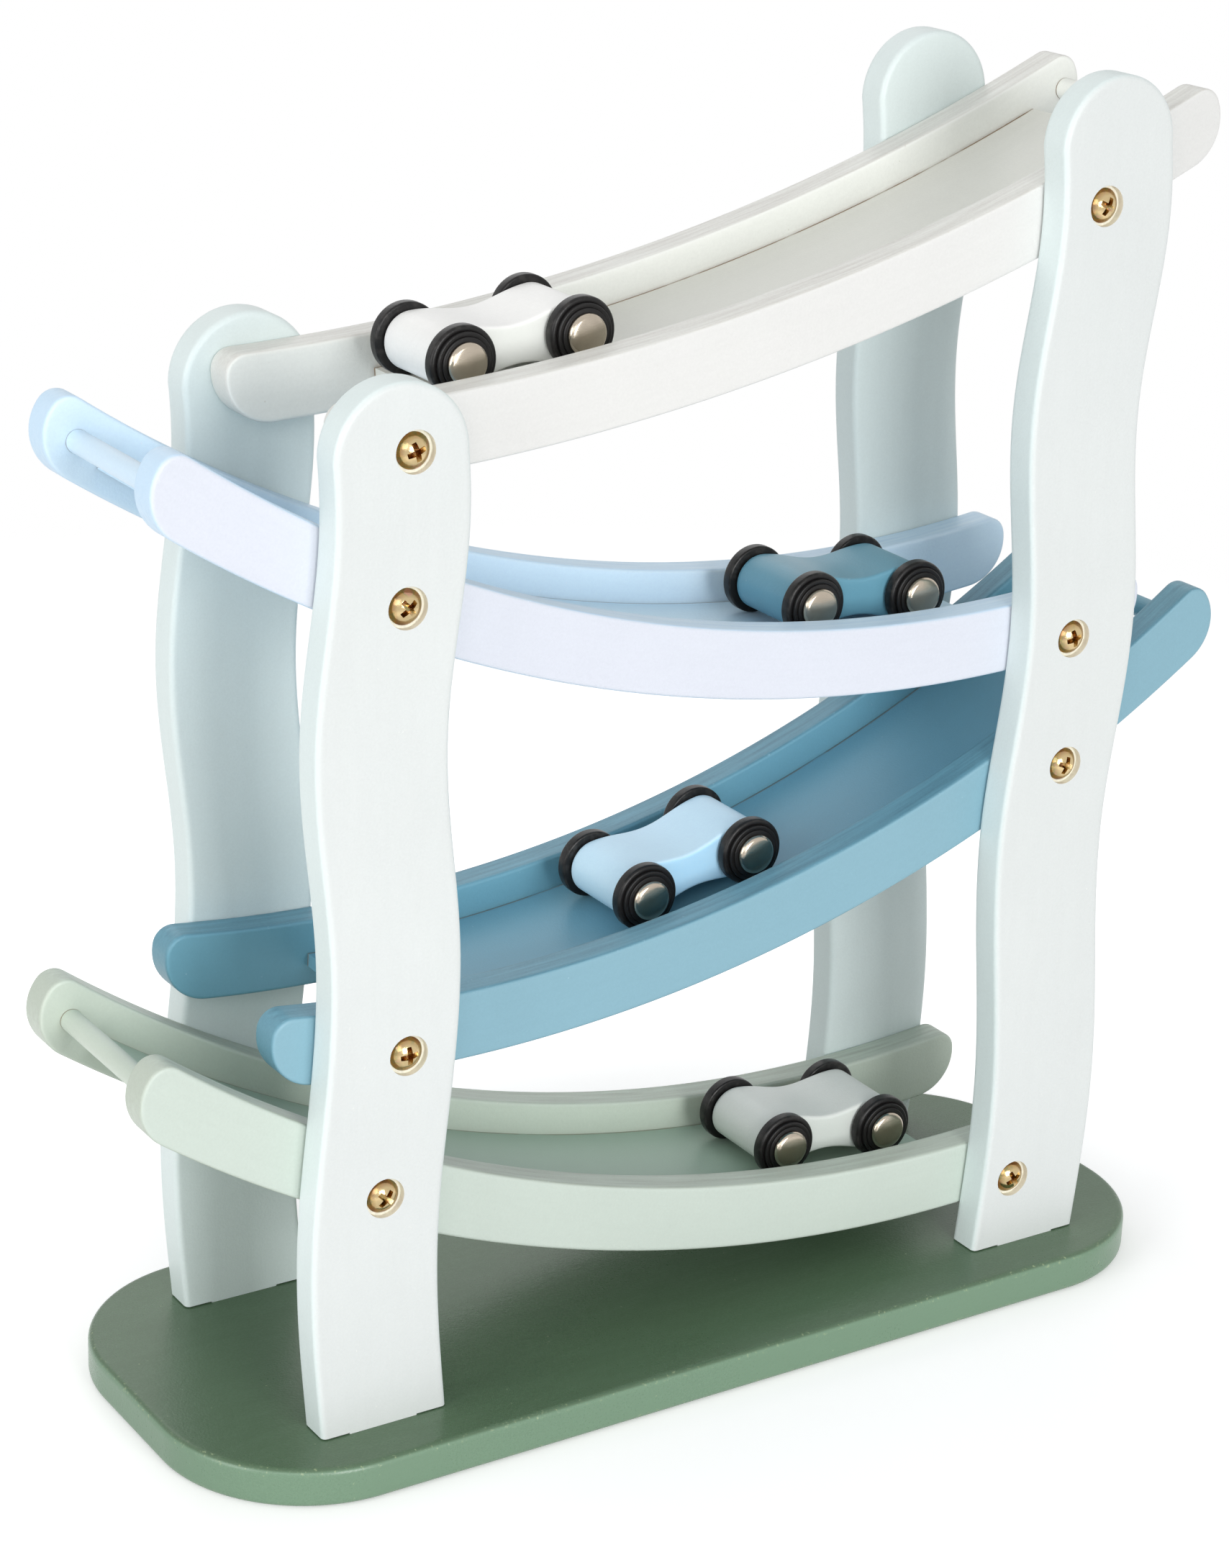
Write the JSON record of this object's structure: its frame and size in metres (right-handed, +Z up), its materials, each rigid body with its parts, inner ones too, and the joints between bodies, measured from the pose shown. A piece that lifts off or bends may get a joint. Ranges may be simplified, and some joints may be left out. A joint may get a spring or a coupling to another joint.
{
  "type": "toy car racing track",
  "caption": "Wooden zigzag car ramp: curved tracks with side rails screwed between wavy posts on a round-cornered base, with a small waisted car rolling on each track.",
  "frame": {"origin": "middle of the base board's flat underside", "axes": "+Z up, +X along the tracks towards the tall posts, -Y the front where the modelled screw heads show"},
  "size_m": [0.278, 0.1, 0.288],
  "materials": {
    "base_paint": "satin sage green paint on wood",
    "post_paint": "satin pale mint white paint on wood",
    "track_1_paint": "satin off-white paint on wood",
    "track_2_paint": "satin pale sky blue paint on wood",
    "track_3_paint": "satin dusty teal blue paint on wood",
    "track_4_paint": "satin pale sage paint on wood",
    "car_1_paint": "satin white paint on wood",
    "car_2_paint": "satin teal blue paint on wood",
    "car_3_paint": "satin light blue paint on wood",
    "car_4_paint": "satin light grey paint on wood",
    "yellow_zinc": "yellow zinc plate on steel",
    "nickel": "bright nickel plate on steel",
    "black_rubber": "satin black moulding"
  },
  "bodies": {
    "stand": {"base": "base_paint", "front_left_post": "post_paint", "front_right_post": "post_paint", "back_left_post": "post_paint", "back_right_post": "post_paint", "track_1_front_rail": "track_1_paint", "track_1_back_rail": "track_1_paint", "track_2_front_rail": "track_2_paint", "track_2_back_rail": "track_2_paint", "track_3_front_rail": "track_3_paint", "track_3_back_rail": "track_3_paint", "track_4_front_rail": "track_4_paint", "track_4_back_rail": "track_4_paint", "track_1_floor": "track_1_paint", "track_2_floor": "track_2_paint", "track_3_floor": "track_3_paint", "track_4_floor": "track_4_paint", "track_1_dowel": "track_1_paint", "track_2_dowel": "track_2_paint", "track_3_dowel": "track_3_paint", "track_4_dowel": "track_4_paint", "front_screw_1_left": "yellow_zinc", "front_screw_1_right": "yellow_zinc", "front_screw_2_left": "yellow_zinc", "front_screw_2_right": "yellow_zinc", "front_screw_3_left": "yellow_zinc", "front_screw_3_right": "yellow_zinc", "front_screw_4_left": "yellow_zinc", "front_screw_4_right": "yellow_zinc"},
    "car_1": {"car_1_body": "car_1_paint"},
    "car_1_lead_wheels": {"car_1_lead_axle": "nickel", "car_1_lead_wheel_near": "black_rubber", "car_1_lead_wheel_far": "black_rubber"},
    "car_1_tail_wheels": {"car_1_tail_axle": "nickel", "car_1_tail_wheel_near": "black_rubber", "car_1_tail_wheel_far": "black_rubber"},
    "car_2": {"car_2_body": "car_2_paint"},
    "car_2_lead_wheels": {"car_2_lead_axle": "nickel", "car_2_lead_wheel_near": "black_rubber", "car_2_lead_wheel_far": "black_rubber"},
    "car_2_tail_wheels": {"car_2_tail_axle": "nickel", "car_2_tail_wheel_near": "black_rubber", "car_2_tail_wheel_far": "black_rubber"},
    "car_3": {"car_3_body": "car_3_paint"},
    "car_3_lead_wheels": {"car_3_lead_axle": "nickel", "car_3_lead_wheel_near": "black_rubber", "car_3_lead_wheel_far": "black_rubber"},
    "car_3_tail_wheels": {"car_3_tail_axle": "nickel", "car_3_tail_wheel_near": "black_rubber", "car_3_tail_wheel_far": "black_rubber"},
    "car_4": {"car_4_body": "car_4_paint"},
    "car_4_lead_wheels": {"car_4_lead_axle": "nickel", "car_4_lead_wheel_near": "black_rubber", "car_4_lead_wheel_far": "black_rubber"},
    "car_4_tail_wheels": {"car_4_tail_axle": "nickel", "car_4_tail_wheel_near": "black_rubber", "car_4_tail_wheel_far": "black_rubber"}
  },
  "joints": [
    {"name": "car_1_run", "type": "hinge", "parent": "stand", "child": "car_1", "pos_m": [-0.1072, 0, 0.775], "axis": [0, -1, 0], "range_deg": [-0.25, 15.28]},
    {"name": "car_1_lead_roll", "type": "hinge", "parent": "car_1", "child": "car_1_lead_wheels", "pos_m": [-0.05817, 0, 0.23462], "axis": [0, -1, 0], "continuous": true},
    {"name": "car_1_tail_roll", "type": "hinge", "parent": "car_1", "child": "car_1_tail_wheels", "pos_m": [-0.02966, 0, 0.23797], "axis": [0, -1, 0], "continuous": true},
    {"name": "car_2_run", "type": "hinge", "parent": "stand", "child": "car_2", "pos_m": [0.0618, 0, 0.5032], "axis": [0, 1, 0], "range_deg": [-2.89, 27.76]},
    {"name": "car_2_lead_roll", "type": "hinge", "parent": "car_2", "child": "car_2_lead_wheels", "pos_m": [0.06287, 0, 0.1686], "axis": [0, 1, 0], "continuous": true},
    {"name": "car_2_tail_roll", "type": "hinge", "parent": "car_2", "child": "car_2_tail_wheels", "pos_m": [0.03419, 0, 0.16974], "axis": [0, 1, 0], "continuous": true},
    {"name": "car_3_run", "type": "hinge", "parent": "stand", "child": "car_3", "pos_m": [-0.0631, 0, 0.4376], "axis": [0, -1, 0], "range_deg": [-11.48, 18.93]},
    {"name": "car_3_lead_roll", "type": "hinge", "parent": "car_3", "child": "car_3_lead_wheels", "pos_m": [-0.00779, 0, 0.1076], "axis": [0, -1, 0], "continuous": true},
    {"name": "car_3_tail_roll", "type": "hinge", "parent": "car_3", "child": "car_3_tail_wheels", "pos_m": [0.02028, 0, 0.11356], "axis": [0, -1, 0], "continuous": true},
    {"name": "car_4_run", "type": "hinge", "parent": "stand", "child": "car_4", "pos_m": [0.0686, 0, 0.3688], "axis": [0, 1, 0], "range_deg": [-2.15, 28.83]},
    {"name": "car_4_lead_roll", "type": "hinge", "parent": "car_4", "child": "car_4_lead_wheels", "pos_m": [0.06348, 0, 0.03424], "axis": [0, 1, 0], "continuous": true},
    {"name": "car_4_tail_roll", "type": "hinge", "parent": "car_4", "child": "car_4_tail_wheels", "pos_m": [0.03483, 0, 0.03591], "axis": [0, 1, 0], "continuous": true}
  ],
  "couplings": [
    {"joint": "car_1_lead_roll", "follows": "car_1_run", "ratio": -70.564},
    {"joint": "car_1_tail_roll", "follows": "car_1_run", "ratio": -70.564},
    {"joint": "car_2_lead_roll", "follows": "car_2_run", "ratio": -43.897},
    {"joint": "car_2_tail_roll", "follows": "car_2_run", "ratio": -43.897},
    {"joint": "car_3_lead_roll", "follows": "car_3_run", "ratio": -43.897},
    {"joint": "car_3_tail_roll", "follows": "car_3_run", "ratio": -43.897},
    {"joint": "car_4_lead_roll", "follows": "car_4_run", "ratio": -43.897},
    {"joint": "car_4_tail_roll", "follows": "car_4_run", "ratio": -43.897}
  ]
}
